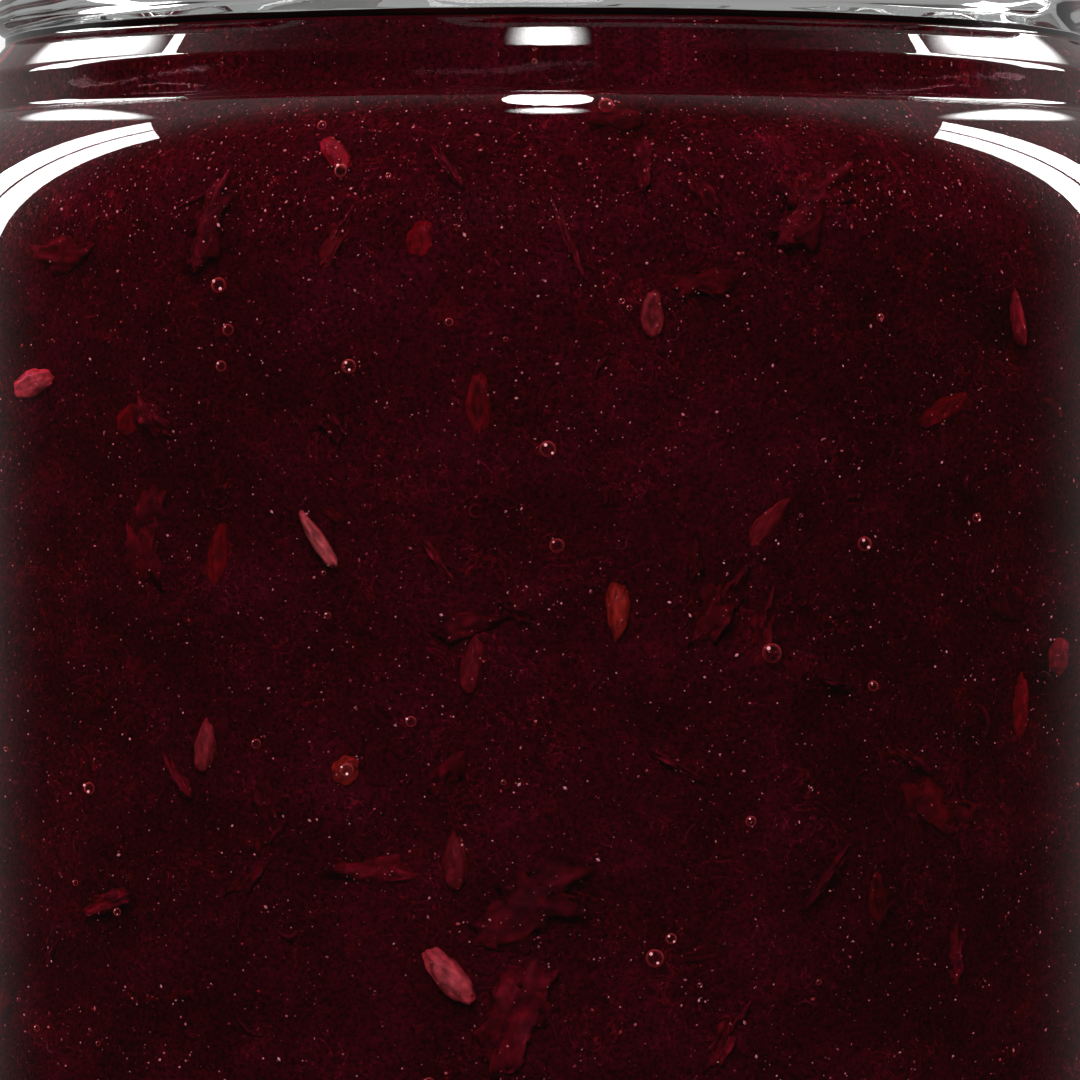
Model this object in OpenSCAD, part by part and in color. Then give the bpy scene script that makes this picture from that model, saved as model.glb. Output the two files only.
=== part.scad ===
// An open glass jam jar with its jam. Millimetres, +Z up.
// The origin is the centre of the foot, on the surface that the jar stands on.

/* [Body] */
// Height from the foot to the rim
jar_h = 113; // [95:1:150]
// Outside diameter of the body
body_d = 75; // [70:0.5:95]
// Thickness of the body wall
wall = 2.4; // [1.8:0.1:3.2]
// Largest radius of the shoulder's curve
shoulder_r = 11.2; // [6:0.2:14]
// Steepness of the shoulder's top, as the tilt of its surface from upright
shoulder_tilt = 52; // [40:1:65]

/* [Foot] */
// Radius of the curve between the wall and the foot
heel_r = 5; // [3:0.5:7]
// Width of the flat ring that the jar stands on
ring_w = 4.5; // [3:0.5:6]
// Rise of the hollow under the foot
push_up = 2.2; // [1:0.2:3]
// Thickness of the glass at the foot's edge, up to the inside corner
foot_t = 4.2; // [3.4:0.2:6]
// Rise of the floor inside, from its edge to its middle
floor_rise = 1.6; // [0.6:0.2:2.4]
// Radius of the inside corner between the wall and the floor
corner_r = 4; // [2:0.5:6]

/* [Neck] */
// Outside diameter of the upright wall that carries the thread
finish_d = 61.8; // [48:0.2:64]
// Height of the upright wall that carries the thread
finish_h = 5.9; // [5:0.1:12]
// Thickness of the upright wall that carries the thread
finish_wall = 3; // [2.2:0.1:3.6]
// How far the collar below the thread slopes out
collar_out = 1.7; // [0.8:0.1:2.4]
// Height of the sloping collar
collar_h = 1.9; // [1:0.1:3]
// Height of the upright neck band below the collar
band_h = 2.4; // [1.6:0.2:4]
// Width of the level ledge between the neck band and the shoulder's edge
ledge_w = 0.6; // [0.3:0.1:1]
// Radius of the hollow curve where the neck band meets the ledge
ledge_fillet = 0.5; // [0.2:0.1:0.6]
// Radius of the curve from the neck's inside to the shoulder's inside
throat_r = 3.5; // [2:0.5:5]

/* [Thread] */
// Number of thread lugs
lug_count = 4; // [3:1:6]
// Angle that one lug covers
lug_span = 78; // [30:1:80]
// How far a lug stands out from the wall
lug_out = 1.1; // [0.6:0.1:1.5]
// Height of a lug's section
lug_h = 2; // [1.4:0.1:2.4]
// Rise of a lug from its left end to its right end
lug_rise = 0.4; // [0:0.1:1]
// Clear height under a lug's low end, above the collar
lug_gap = 0.6; // [0.4:0.1:2]
// Length of a lug's rounded end, as an angle
lug_end = 7; // [3:1:12]
// Direction of the first lug's low end, from the right-hand side
lug_start = 167; // [0:1:359]

/* [Jam] */
// Depth of the empty space from the rim down to the jam
headspace = 5.3; // [4.6:0.1:30]
// Play between the jam and the glass
jam_play = 0.05; // [0:0.05:0.3]

/* [Hidden] */
$fn = 128;
far = 400;                    // a length beyond every part
body_r = body_d / 2;
finish_r = finish_d / 2;
mouth_r = finish_r - finish_wall;
band_r = finish_r + collar_out;
ledge_r = band_r + ledge_w;

// Heights, from the rim down
collar_z = jar_h - finish_h;
band_z = collar_z - collar_h;
ledge_z = band_z - band_h;

// The shoulder is an arc, and a straight slope for the width that the arc leaves over
shoulder_w = body_r - ledge_r;
arc_r = min(shoulder_r, shoulder_w / (1 - cos(shoulder_tilt)));
slope_w = shoulder_w - arc_r * (1 - cos(shoulder_tilt));
shoulder_z = ledge_z - arc_r * sin(shoulder_tilt) - slope_w / tan(shoulder_tilt);
arc_x = body_r - arc_r;       // the arc's centre, at the height shoulder_z

// The rim is as round as the wall is thick
rim_r = finish_wall / 2;

// The thread lugs
lug_z = collar_z + lug_gap + lug_h / 2;
lug_root = 0.5;               // how deep a lug is sunk into the wall
LUG_STEPS = 24;
LUG_SIDES = 8;
LUG_SQUARE = 0.6;             // under 1 makes the section squarer than an ellipse

function cap_radius(half, rise) = (half * half + rise * rise) / (2 * rise);

// A pie slice of radius r round (x, z), from level up to the given tilt
module slice(x, z, r, tilt) {
    intersection() {
        translate([x, z]) circle(r);
        polygon([[x, z], [x + far, z], [x + far * cos(tilt), z + far * sin(tilt)]]);
    }
}

// What lies under the straight line that carries such a slice's curve on, up to the axis
module slope(x, z, r, tilt) {
    end = [x + r * cos(tilt), z + r * sin(tilt)];
    polygon([[0, z - far], [x + r / 2, z - far], [x + r / 2, z], end,
             [0, end[1] + end[0] / tan(tilt)]]);
}

// Outline of the glass as if it were solid
module outside() {
    // Body, foot and heel
    translate([0, heel_r]) square([body_r, shoulder_z - heel_r]);
    square([body_r - heel_r, heel_r]);
    translate([body_r - heel_r, heel_r]) circle(heel_r);
    // Shoulder, cut off level at the ledge
    intersection() {
        union() {
            slice(arc_x, shoulder_z, arc_r, shoulder_tilt);
            slope(arc_x, shoulder_z, arc_r, shoulder_tilt);
        }
        translate([0, shoulder_z]) square([body_r, ledge_z - shoulder_z]);
    }
    // Hollow curve, band and collar
    difference() {
        translate([0, ledge_z]) square([band_r + ledge_fillet, ledge_fillet]);
        translate([band_r + ledge_fillet, ledge_z + ledge_fillet]) circle(ledge_fillet);
    }
    translate([0, shoulder_z]) square([band_r, band_z - shoulder_z]);
    polygon([[0, band_z], [band_r, band_z], [finish_r, collar_z], [0, collar_z]]);
    // Upright wall and rim
    translate([0, band_z]) square([finish_r, jar_h - rim_r - band_z]);
    translate([mouth_r, jar_h - 2 * rim_r]) square([rim_r, rim_r]);
    translate([finish_r - rim_r, jar_h - rim_r]) circle(rim_r);
}

// Outline of the hollow, drawn smaller by the play all round
module inside(play) {
    r = body_r - wall - play;
    bend_r = arc_r - wall - play;
    corner = corner_r - play;
    floor_z = foot_t + play;
    neck_r = mouth_r - play;
    throat = throat_r + play;
    // The straight inner slope meets the upright neck at this height
    slope_z = shoulder_z + bend_r * sin(shoulder_tilt)
            + (arc_x + bend_r * cos(shoulder_tilt) - neck_r) / tan(shoulder_tilt);
    // The throat's curve is round this centre, in the glass, and meets the slope at this point
    throat_x = neck_r + throat;
    throat_z = slope_z + throat * tan(shoulder_tilt / 2);
    meet_x = throat_x - throat * cos(shoulder_tilt);
    meet_z = throat_z - throat * sin(shoulder_tilt);
    difference() {
        union() {
            translate([0, floor_z + corner]) square([r, shoulder_z - floor_z - corner]);
            translate([0, floor_z]) square([r - corner, corner]);
            translate([r - corner, floor_z + corner]) circle(corner);
            slice(arc_x, shoulder_z, bend_r, shoulder_tilt);
            intersection() {
                slope(arc_x, shoulder_z, bend_r, shoulder_tilt);
                translate([0, floor_z + corner]) square([body_r, slope_z - floor_z - corner]);
            }
            translate([0, shoulder_z]) square([neck_r, far]);
            // The hollow is wider here by the corner that the throat's curve rounds off
            difference() {
                polygon([[0, meet_z], [meet_x, meet_z], [throat_x, throat_z], [0, throat_z]]);
                translate([throat_x, throat_z]) circle(throat);
            }
        }
        // The raised floor
        dome = cap_radius(body_r - wall - corner_r, floor_rise);
        translate([0, foot_t + floor_rise - dome]) circle(dome + play, $fn = 256);
    }
}

// One lug: a rounded section carried round the neck, with ends that taper to nothing
function end_size(a) =
    let (d = min(a, lug_span - a) / lug_end)
    d >= 1 ? 1 : max(sqrt(1 - (1 - d) * (1 - d)), 0.02);

function lug_point(a, t) =
    let (s = end_size(a),
         out = (lug_out + lug_root) * s * pow(cos(t), LUG_SQUARE),
         up = lug_h / 2 * s * sin(t),
         r = finish_r - lug_root + out)
    [r * cos(a), r * sin(a), lug_z + lug_rise * a / lug_span + up];

module lug() {
    n = LUG_SIDES + 1;
    // Steps are closer together in the rounded ends
    angles = [for (i = [0:LUG_STEPS]) lug_span * (1 - cos(180 * i / LUG_STEPS)) / 2];
    points = [for (a = angles) for (j = [0:LUG_SIDES]) lug_point(a, -90 + 180 * j / LUG_SIDES)];
    sides = [for (i = [0:LUG_STEPS - 1]) for (j = [0:LUG_SIDES])
        let (k = (j + 1) % n, p = i * n)
        each [[p + j, p + k, p + n + k], [p + j, p + n + k, p + n + j]]];
    first = [for (j = [1:LUG_SIDES - 1]) [0, j + 1, j]];
    q = LUG_STEPS * n;
    last = [for (j = [1:LUG_SIDES - 1]) [q, q + j, q + j + 1]];
    polyhedron(points, concat(sides, first, last));
}

module jar() {
    color([0.86, 0.92, 0.92, 0.45]) {
        rotate_extrude($fn = 180) difference() {
            intersection() {
                outside();
                square([body_r, jar_h]);
            }
            inside(0);
            // The hollow under the foot
            half = body_r - heel_r - ring_w;
            translate([0, push_up - cap_radius(half, push_up)])
                circle(cap_radius(half, push_up), $fn = 256);
        }
        for (i = [0:lug_count - 1])
            rotate([0, 0, lug_start + 360 * i / lug_count]) lug();
    }
}

module jam() {
    color([0.22, 0.02, 0.04])
        rotate_extrude($fn = 180) intersection() {
            inside(jam_play);
            square([body_r, jar_h - headspace]);
        }
}

jar();
jam();
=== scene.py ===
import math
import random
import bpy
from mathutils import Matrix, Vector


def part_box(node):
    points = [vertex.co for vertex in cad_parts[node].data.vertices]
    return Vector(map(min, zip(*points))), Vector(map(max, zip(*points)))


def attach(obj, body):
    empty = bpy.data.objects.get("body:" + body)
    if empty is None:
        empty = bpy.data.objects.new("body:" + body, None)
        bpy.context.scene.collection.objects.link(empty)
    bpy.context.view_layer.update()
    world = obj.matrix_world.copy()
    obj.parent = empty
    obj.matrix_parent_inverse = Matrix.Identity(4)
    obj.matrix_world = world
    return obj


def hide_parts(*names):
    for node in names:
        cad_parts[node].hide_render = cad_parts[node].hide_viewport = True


bl_info = {
    "name": "Jam jar",
    "version": (1, 0, 0),
    "blender": (4, 5, 0),
    "location": "View3D > Sidebar > Jam jar",
    "description": "Makes an open glass jar of dark, seedy fruit jam",
    "category": "Add Mesh",
}

from types import SimpleNamespace

import bmesh
import bpy
import numpy as np
from mathutils import Matrix, Vector, noise

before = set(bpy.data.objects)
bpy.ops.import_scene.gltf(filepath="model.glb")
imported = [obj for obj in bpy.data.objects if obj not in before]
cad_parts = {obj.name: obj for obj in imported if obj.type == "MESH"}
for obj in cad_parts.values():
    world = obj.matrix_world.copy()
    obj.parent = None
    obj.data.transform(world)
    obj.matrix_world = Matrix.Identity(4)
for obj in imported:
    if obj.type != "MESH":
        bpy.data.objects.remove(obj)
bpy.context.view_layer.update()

MM = 0.001
BODY = "root"  # the one body of a row with no joints
JAR_LOW, JAR_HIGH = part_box("jar")
JAM_LOW, JAM_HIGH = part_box("jam")
JAR_HEIGHT = JAR_HIGH.z
JAM_LEVEL = JAM_HIGH.z
# The middle of what the camera sees: a point of the body's upper half
EYE_HEIGHT = 79.1 * MM
PROPERTIES = "jam_jar_sizes"
COLOURS = "jam_jar_colours"

# Points nearer than this are the same
TINY = 1e-6
# Steps round the axis
GLASS_STEPS = 320
JELLY_STEPS = 240
CORE_STEPS = 300
# Steps of the shallow domes, from edge to middle
DOME_STEPS = 18
# How deep a lug is sunk into the neck's wall
LUG_ROOT = 0.5 * MM
# How the light bends: in glass, in glass that touches jam, in the neck, in jelly and round air
GLASS_IOR = 1.5
TOUCHING_IOR = 1.04
NECK_IOR = 1.13
JELLY_IOR = 1.44
BUBBLE_IOR = 1.8
# Share of red, green and blue light that a millimetre of jelly takes
JELLY_TAKES = (0.33, 1.15, 0.85)
# Depth of the clear jelly over the dark jam's top
CORE_TOP_DEPTH = 1.0 * MM
# What is listed one by one spans this far to each side of the front, and this far below its middle
FRONT_TURN = math.radians(58)
FRONT_DROP = 29 * MM


# ---------------------------------------------------------------- sizes and colours


def length(name, description, default):
    """A length that a user may change, given in millimetres."""
    return bpy.props.FloatProperty(
        name=name, description=description, default=default * MM, precision=5, unit="LENGTH"
    )


def angle(name, description, default):
    """An angle that a user may change, given in degrees."""
    return bpy.props.FloatProperty(
        name=name, description=description, default=math.radians(default), unit="ROTATION"
    )


def number(name, description, default):
    return bpy.props.IntProperty(name=name, description=description, default=default, min=0)


def colour(name, description, default):
    return bpy.props.FloatVectorProperty(
        name=name, description=description, default=default, subtype="COLOR", size=3, min=0, max=1
    )


class JamJarSizes(bpy.types.PropertyGroup):
    """Sizes of the jar and amounts of what is in the jam."""

    wall: length("Wall", "Thickness of the body's wall", 2.4)
    shoulder: length("Shoulder", "Radius of the shoulder's curve", 11.2)
    shoulder_tilt: angle("Shoulder tilt", "Tilt of the shoulder's top from upright", 52)
    heel: length("Heel", "Radius of the curve between wall and foot", 5)
    ring: length("Foot ring", "Width of the flat ring under the foot", 4.5)
    push_up: length("Push-up", "Rise of the hollow under the foot", 2.2)
    foot: length("Foot", "Thickness of the glass at the inside corner", 4.2)
    floor_rise: length("Floor rise", "Rise of the floor inside", 1.6)
    corner: length("Inside corner", "Radius of the corner between wall and floor", 4)
    finish_wall: length("Neck wall", "Thickness of the upright neck wall", 3)
    finish_out: length("Neck step", "How far the neck wall stands back from the body", 6.6)
    finish_height: length("Neck height", "Height of the upright neck wall", 5.9)
    collar_out: length("Collar", "How far the collar slopes out", 1.7)
    collar_height: length("Collar height", "Height of the sloping collar", 1.9)
    band_height: length("Band height", "Height of the upright band under the collar", 2.4)
    ledge: length("Ledge", "Width of the ledge at the shoulder's top edge", 0.6)
    ledge_fillet: length("Ledge fillet", "Radius of the hollow curve on the ledge", 0.5)
    edge: length("Edges", "Radius of the neck's fine edges", 0.25)
    throat: length("Throat", "Radius of the curve inside the neck", 3.5)
    lugs: number("Lugs", "Number of thread lugs", 4)
    lug_span: angle("Lug span", "Angle that one lug covers", 78)
    lug_start: angle("Lug start", "Direction of the first lug's low end", 167)
    lug_end: angle("Lug end", "Angle of a lug's rounded end", 7)
    lug_out: length("Lug depth", "How far a lug stands out", 0.7)
    lug_height: length("Lug height", "Height of a lug's section", 2)
    lug_rise: length("Lug rise", "Rise of a lug from end to end", 0.4)
    lug_gap: length("Lug gap", "Clear height under a lug's low end", 0.6)
    wave: length("Waves", "Unevenness of the glass inside", 0.05)
    reach: length("Reach", "How far the jam reaches into the glass, so that no gap shows", 0.12)
    clear: length("Clear layer", "Depth of clear jelly over the dark core", 1.1)
    seeds: number("Seeds", "Seeds round the sides and the back", 90)
    scraps: number("Pulp", "Scraps of skin and pulp", 130)
    fibres: number("Fibres", "Fine strands of fruit", 1300)
    bubbles: number("Bubbles", "Air bubbles at the glass", 150)
    specks: number("Specks", "Fine pale specks, in each of two layers", 18000)


class JamJarColours(bpy.types.PropertyGroup):
    """Colours of the glass, the jam and what is in it."""

    glass: colour("Glass", "Tint of the clear glass", (0.985, 1.0, 0.995))
    jelly: colour("Jelly", "What the jelly lets through at its surface", (0.92, 0.72, 0.76))
    core: colour("Jam", "The dark jam under the jelly", (0.1, 0.014, 0.045))
    core_light: colour("Jam, light", "Lighter streaks in the jam", (0.165, 0.022, 0.052))
    skin: colour("Skin", "Thin wrinkled skins in the jam", (0.34, 0.07, 0.11))
    fibre: colour("Fibre", "Strands of fruit", (0.19, 0.026, 0.055))
    speck: colour("Speck", "Pale specks", (0.95, 0.7, 0.66))
    floor: colour("Floor", "The plain floor", (0.6, 0.6, 0.59))


def sizes():
    """The user's sizes, with what follows from them and from the frame."""
    p = getattr(bpy.context.scene, PROPERTIES)
    s = SimpleNamespace(**{k: getattr(p, k) for k in JamJarSizes.__annotations__})
    s.height = JAR_HEIGHT
    s.body = JAR_HIGH.x
    s.finish = s.body - s.finish_out
    s.mouth = s.finish - s.finish_wall
    s.band = s.finish + s.collar_out
    s.top_edge = s.band + s.ledge
    s.collar_z = s.height - s.finish_height
    s.band_z = s.collar_z - s.collar_height
    s.ledge_z = s.band_z - s.band_height
    # The wall and the shoulder's straight top would meet at this height
    s.shoulder_z = s.ledge_z - (s.body - s.top_edge) / math.tan(s.shoulder_tilt)
    s.lug_z = s.collar_z + s.lug_gap + s.lug_height / 2
    s.ring_in = s.body - s.heel - s.ring
    return s


# ---------------------------------------------------------------- outlines and spinning


def cap(half, rise, base, steps):
    """Points (x, z) of a shallow dome from its edge at x = half to its middle."""
    r = (half * half + rise * rise) / (2 * rise)
    points = []
    for i in range(steps + 1):
        x = half * (1 - i / steps)
        points.append((x, base + rise - r + math.sqrt(r * r - x * x)))
    return points


# Points near a straight line's ends keep it looking straight where it meets an arc
HOLD = 0.08 * MM
# Straights shorter than this get no points between their ends
SHORT = 0.25 * MM


def rounded(corners, step, turn=math.radians(4)):
    """Outline through corners (x, z, radius): each corner becomes an arc, and straights are cut up."""
    points = []
    ends = len(corners) - 1
    for i, (x, z, radius) in enumerate(corners):
        here = Vector((x, z))
        if i in (0, ends) or radius <= 0:
            arc = [here]
        else:
            back = (Vector(corners[i - 1][:2]) - here).normalized()
            on = (Vector(corners[i + 1][:2]) - here).normalized()
            half = back.angle(on) / 2
            centre = here + (back + on).normalized() * radius / math.sin(half)
            first = here + back * radius / math.tan(half) - centre
            sweep = math.pi - 2 * half
            way = 1 if back.x * on.y - back.y * on.x < 0 else -1
            count = max(3, round(sweep / turn))
            arc = []
            for k in range(count + 1):
                a = way * sweep * k / count
                c, s = math.cos(a), math.sin(a)
                arc.append(centre + Vector((first.x * c - first.y * s, first.x * s + first.y * c)))
        if points:
            last, gap = points[-1], arc[0] - points[-1]
            hold = min(HOLD / max(gap.length, TINY), 0.3)
            cuts = max(1, math.ceil(gap.length / step - 0.01))
            cut_at = sorted({hold, 1 - hold, *(k / cuts for k in range(1, cuts))})
            points += [last + gap * k for k in cut_at if gap.length > SHORT]
        points += [p for p in arc if not points or (p - points[-1]).length > TINY]
    return [(p.x, p.y) for p in points]


def inner_corners(s, out=0.0):
    """Corners of the glass's inside, from the neck down to the floor, moved out by a distance."""
    lean = s.shoulder_tilt
    wall = s.body - s.wall + out
    # The slope lies a wall's thickness inside the shoulder's
    shift = (s.wall - out) * math.tan(lean / 2)
    meet_z = s.shoulder_z - shift
    neck = s.mouth + out
    slope_z = meet_z + (wall - neck) / math.tan(lean)
    return [
        (neck, slope_z, s.throat - out),
        (wall, meet_z, s.shoulder - s.wall + out),
        (wall, s.foot - out, s.corner + out),
    ]


def spin(bm, outline, steps, marks=None):
    """Spins an outline (x, z) round the Z axis. marks gives each point's values for vertex layers."""
    layers = {k: bm.verts.layers.float.new(k) for k in marks} if marks else {}
    verts = [bm.verts.new((x, 0, z)) for x, z in outline]
    for name, layer in layers.items():
        for v, value in zip(verts, marks[name]):
            v[layer] = value
    edges = [bm.edges.new(pair) for pair in zip(verts, verts[1:])]
    bmesh.ops.spin(
        bm, geom=verts + edges, cent=(0, 0, 0), axis=(0, 0, 1), angle=2 * math.pi,
        steps=steps, use_merge=True,
    )
    bmesh.ops.remove_doubles(bm, verts=bm.verts, dist=1e-7)
    bmesh.ops.recalc_face_normals(bm, faces=bm.faces)
    bm.normal_update()
    return layers


def finish(bm, name, materials, replaces=None):
    """Makes the object of a bmesh, smooth, riding on the one body."""
    mesh = bpy.data.meshes.new(name)
    bm.to_mesh(mesh)
    bm.free()
    return add_piece(mesh, name, materials, replaces)


def add_piece(data, name, materials, replaces=None):
    piece = bpy.data.objects.new(name, data)
    bpy.context.scene.collection.objects.link(piece)
    for m in materials:
        data.materials.append(m)
    if isinstance(data, bpy.types.Mesh):
        data.shade_smooth()
    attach(piece, BODY)
    if replaces:
        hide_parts(replaces)
    return piece


# ---------------------------------------------------------------- materials


class Nodes:
    """A material's node tree, with short calls to add and join nodes."""

    def __init__(self, name):
        self.material = bpy.data.materials.new(name)
        self.material.use_nodes = True
        self.tree = self.material.node_tree
        self.tree.nodes.clear()
        self.output = self.tree.nodes.new("ShaderNodeOutputMaterial")

    def add(self, kind, inputs=None, **settings):
        node = self.tree.nodes.new("ShaderNode" + kind)
        for key, value in settings.items():
            setattr(node, key, value)
        for key, value in (inputs or {}).items():
            if isinstance(value, bpy.types.NodeSocket):
                self.tree.links.new(value, node.inputs[key])
            else:
                node.inputs[key].default_value = value
        return node

    def surface(self, socket):
        self.tree.links.new(socket, self.output.inputs["Surface"])

    def principled(self, inputs):
        return self.add("BsdfPrincipled", inputs).outputs[0]

    def coordinates(self, scale=1.0, stretch=(1, 1, 1)):
        """Object coordinates in millimetres times a scale."""
        place = self.add("TexCoord").outputs["Object"]
        size = [scale * k / MM for k in stretch]
        return self.add("Mapping", {"Vector": place, "Scale": size}).outputs["Vector"]

    def noise(self, scale, detail=4.0, stretch=(1, 1, 1), distortion=0.0):
        """Noise with a scale in turns per millimetre."""
        return self.add(
            "TexNoise",
            {
                "Vector": self.coordinates(scale, stretch),
                "Scale": 1.0,
                "Detail": detail,
                "Distortion": distortion,
            },
        ).outputs["Fac"]

    def ramp(self, value, *stops):
        """Colour ramp through (position, colour) stops."""
        node = self.add("ValToRGB", {"Fac": value})
        ramp = node.color_ramp
        while len(ramp.elements) < len(stops):
            ramp.elements.new(0.5)
        for element, (position, rgb) in zip(ramp.elements, stops):
            element.position = position
            element.color = (*rgb, 1)
        return node.outputs["Color"]

    def multiply(self, first, second):
        node = self.add("Mix", {"Factor": 1.0}, data_type="RGBA", blend_type="MULTIPLY")
        self.tree.links.new(first, node.inputs[6])
        self.tree.links.new(second, node.inputs[7])
        return node.outputs[2]

    def bump(self, height, distance, strength=1.0):
        return self.add(
            "Bump", {"Height": height, "Distance": distance, "Strength": strength}
        ).outputs["Normal"]

    def open_to_lamps(self, shader):
        """Lets lamplight through a glass surface, so that what is behind it is lit."""
        shadow = self.add("LightPath").outputs["Is Shadow Ray"]
        clear = self.add("BsdfTransparent", {"Color": (1, 1, 1, 1)}).outputs[0]
        return self.add("MixShader", {0: shadow, 1: shader, 2: clear}).outputs[0]


def colours():
    return getattr(bpy.context.scene, COLOURS)


def opaque(rgb):
    return (*rgb, 1)


def glass_material(name, ior):
    n = Nodes(name)
    shader = n.principled(
        {
            "Base Color": opaque(colours().glass),
            "Roughness": 0.0,
            "IOR": ior,
            "Transmission Weight": 1.0,
        }
    )
    n.surface(n.open_to_lamps(shader))
    return n.material


def absorb(n, per_mm):
    """Fills a closed piece with clear colour that takes this share of each light per millimetre."""
    most = max(per_mm)
    kept = [1 - k / most for k in per_mm]
    volume = n.add("VolumeAbsorption", {"Color": opaque(kept), "Density": most / MM})
    n.tree.links.new(volume.outputs[0], n.output.inputs["Volume"])


def jelly_material():
    """The clear jelly: unseen where it touches the glass, glossy on top."""
    n = Nodes("clear_jelly")
    tint = opaque(colours().jelly)
    side = n.add("BsdfTransparent", {"Color": tint}).outputs[0]
    gloss = n.principled(
        {"Base Color": tint, "Roughness": 0.03, "IOR": JELLY_IOR, "Transmission Weight": 1.0}
    )
    top = n.add("Attribute", attribute_name="top").outputs["Fac"]
    n.surface(n.add("MixShader", {0: top, 1: side, 2: n.open_to_lamps(gloss)}).outputs[0])
    absorb(n, JELLY_TAKES)
    return n.material


def core_material():
    """Dark jam: soft streaks, a fine grain, and thin wrinkled skins."""
    n = Nodes("dark_jam")
    c = colours()
    streaks = n.noise(0.55, detail=7, stretch=(1, 1, 1.5), distortion=1.2)
    body = n.ramp(streaks, (0.36, c.core), (0.52, c.core), (0.74, c.core_light))
    fine = n.noise(4.5, detail=6, distortion=0.5)
    grain = n.ramp(fine, (0.34, (0.4, 0.4, 0.4)), (0.5, (1, 1, 1)), (0.68, (1.5, 1.5, 1.5)))
    # A skin shows as a thin line along one level of a coarse noise, here and there
    level = n.noise(0.5, detail=4, distortion=1.6)
    line = n.ramp(level, (0.487, (0, 0, 0)), (0.5, (1, 1, 1)), (0.513, (0, 0, 0)))
    where = n.ramp(n.noise(0.28, detail=2), (0.5, (0, 0, 0)), (0.58, (1, 1, 1)))
    skins = n.multiply(line, where)
    lined = n.add("Mix", {0: skins}, data_type="RGBA")
    n.tree.links.new(body, lined.inputs[6])
    lined.inputs[7].default_value = opaque(c.skin)
    shader = n.principled(
        {
            "Base Color": n.multiply(lined.outputs[2], grain),
            "Roughness": 0.6,
            "Specular IOR Level": 0.0,
            "Normal": n.bump(fine, 0.25 * MM, 0.8),
        }
    )
    n.surface(shader)
    return n.material


def toned_material(name, spots, spot_size, roughness, relief, specular=0.3):
    """A finish whose colour comes from the piece's tone attribute, with painted shade: darker in the
    hollows of its bump. spots is how dark that painted shade goes.
    """
    n = Nodes(name)
    tone = n.add("Attribute", attribute_name="tone").outputs["Color"]
    grain = n.noise(spot_size, detail=5, distortion=0.4)
    # Painted shade: the colour darkens where the bump is low
    shade = n.ramp(grain, (0.32, (spots, spots, spots)), (0.62, (1, 1, 1)))
    shader = n.principled(
        {
            "Base Color": n.multiply(tone, shade),
            "Roughness": roughness,
            "Specular IOR Level": specular,
            "Normal": n.bump(grain, relief, 0.7),
        }
    )
    n.surface(shader)
    return n.material


def fibre_material():
    n = Nodes("fibre")
    rgb = colours().fibre
    dark = [k * 0.35 for k in rgb]
    tone = n.ramp(n.noise(0.35, detail=2), (0.38, dark), (0.66, rgb))
    n.surface(n.principled({"Base Color": tone, "Roughness": 0.35, "Specular IOR Level": 0.4}))
    return n.material


def speck_material(name, glow, attribute=None):
    """Pale stuff with a painted glow: an emission that stands for the light it catches, tinted by an
    attribute where there is one.
    """
    n = Nodes(name)
    grain = n.ramp(n.noise(1.5), (0.35, [k * 0.8 for k in colours().speck]), (0.6, colours().speck))
    tone = grain
    if attribute:
        tone = n.multiply(n.add("Attribute", attribute_name=attribute).outputs["Color"], grain)
    # The emission is painted light: it makes the stuff shine without a lamp
    shader = n.principled(
        {
            "Base Color": tone,
            "Roughness": 0.25,
            "Emission Color": tone,
            "Emission Strength": glow,
        }
    )
    n.surface(shader)
    return n.material


def bubble_material():
    """Air in the jam: clear in its middle, with a painted reflection at its rim, an opaque reddish
    edge, and glossy glints.
    """
    n = Nodes("air_bubble")
    facing = n.add("LayerWeight", {"Blend": 0.5}).outputs["Facing"]
    # Painted reflection: the edge turns opaque and reddish where a real bubble's edge reflects light
    rim = n.ramp(facing, (0.18, (0.02, 0.02, 0.02)), (0.34, (0.3, 0.3, 0.3)), (0.52, (0.9, 0.9, 0.9)))
    shine = n.principled(
        {
            "Base Color": (0.7, 0.2, 0.18, 1),
            "Roughness": 0.04,
            "IOR": BUBBLE_IOR,
            "Alpha": rim,
        }
    )
    n.surface(shine)
    return n.material


def floor_material():
    n = Nodes("floor")
    rgb = colours().floor
    grain = n.noise(0.02, detail=3)
    tone = n.ramp(grain, (0.3, [k * 0.97 for k in rgb]), (0.7, rgb))
    # In the glass's reflections the floor is painted darker: a painted darkening of its reflection
    mirrored = n.add("LightPath").outputs["Is Glossy Ray"]
    darker_in_reflections = n.multiply(tone, n.ramp(mirrored, (0.0, (1, 1, 1)), (1.0, (0.16, 0.16, 0.16))))
    n.surface(n.principled({"Base Color": darker_in_reflections, "Roughness": 0.9}))
    return n.material


# ---------------------------------------------------------------- the glass


def lug_offset(s, turn, z):
    """How far the thread stands out from the neck's wall at a direction and a height."""
    for i in range(s.lugs):
        along = (turn - s.lug_start - 2 * math.pi * i / s.lugs) % (2 * math.pi)
        if along > s.lug_span:
            continue
        near = min(along, s.lug_span - along) / s.lug_end
        size = 1.0 if near >= 1 else math.sqrt(max(1 - (1 - near) ** 2, 0.0))
        middle = s.lug_z + s.lug_rise * along / s.lug_span
        up = abs(z - middle) / max(s.lug_height / 2 * size, 1e-9)
        if up < 1:
            return max((s.lug_out + LUG_ROOT) * size * (1 - up * up) ** 0.3 - LUG_ROOT, 0.0)
    return 0.0


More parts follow.
